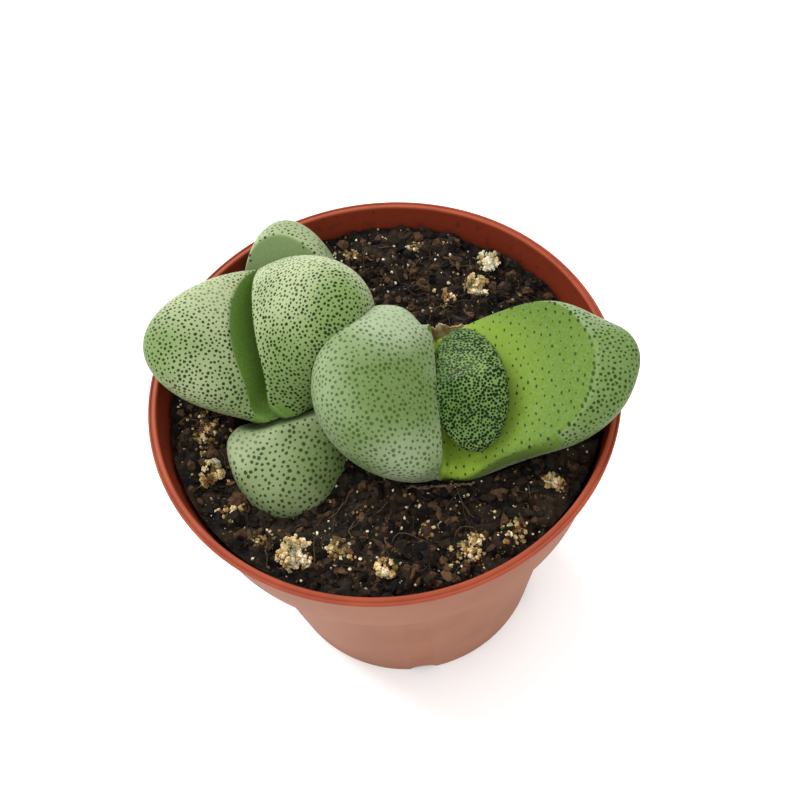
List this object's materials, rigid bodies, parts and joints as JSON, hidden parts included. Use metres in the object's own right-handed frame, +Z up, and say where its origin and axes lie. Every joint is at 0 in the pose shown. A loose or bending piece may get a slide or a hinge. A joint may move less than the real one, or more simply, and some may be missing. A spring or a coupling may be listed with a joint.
{
  "type": "potted split rock",
  "caption": "Small succulent with heads of fat paired leaves, set in gritty soil in a round tapered plastic nursery pot.",
  "frame": {"origin": "middle of the pot's flat underside, on the surface that it stands on", "axes": "+Z up along the pot's axis, +X to the right and +Y away from the viewer of the reference picture"},
  "size_m": [0.0656, 0.065, 0.0726],
  "materials": {
    "terracotta_plastic": "smooth terracotta coloured moulded plastic, dusty outside",
    "dark_soil": "damp dark brown peat with crumbs and fibres",
    "grey_green_leaf": "waxy grey green leaf skin with dark green dots",
    "young_green_leaf": "deeper green young leaf skin with fine near-black dots",
    "brown_root": "woody brown root",
    "papery_sheath": "dry papery tan leaf remains",
    "cream_grit": "rough cream mineral grit"
  },
  "bodies": {
    "root": {"pot": "terracotta_plastic", "soil": "dark_soil", "left_old_pair": "grey_green_leaf", "left_young_pair": "grey_green_leaf", "right_old_pair": "grey_green_leaf", "right_young_pair": "young_green_leaf", "left_taproot": "brown_root", "right_taproot": "brown_root", "dried_sheath_back": "papery_sheath", "dried_sheath_front": "papery_sheath", "grit_lump_back": "cream_grit", "grit_lump_back_right": "cream_grit", "grit_lump_front": "cream_grit", "grit_lump_front_middle": "cream_grit", "grit_lump_front_right": "cream_grit", "grit_lump_left": "cream_grit"}
  },
  "joints": []
}
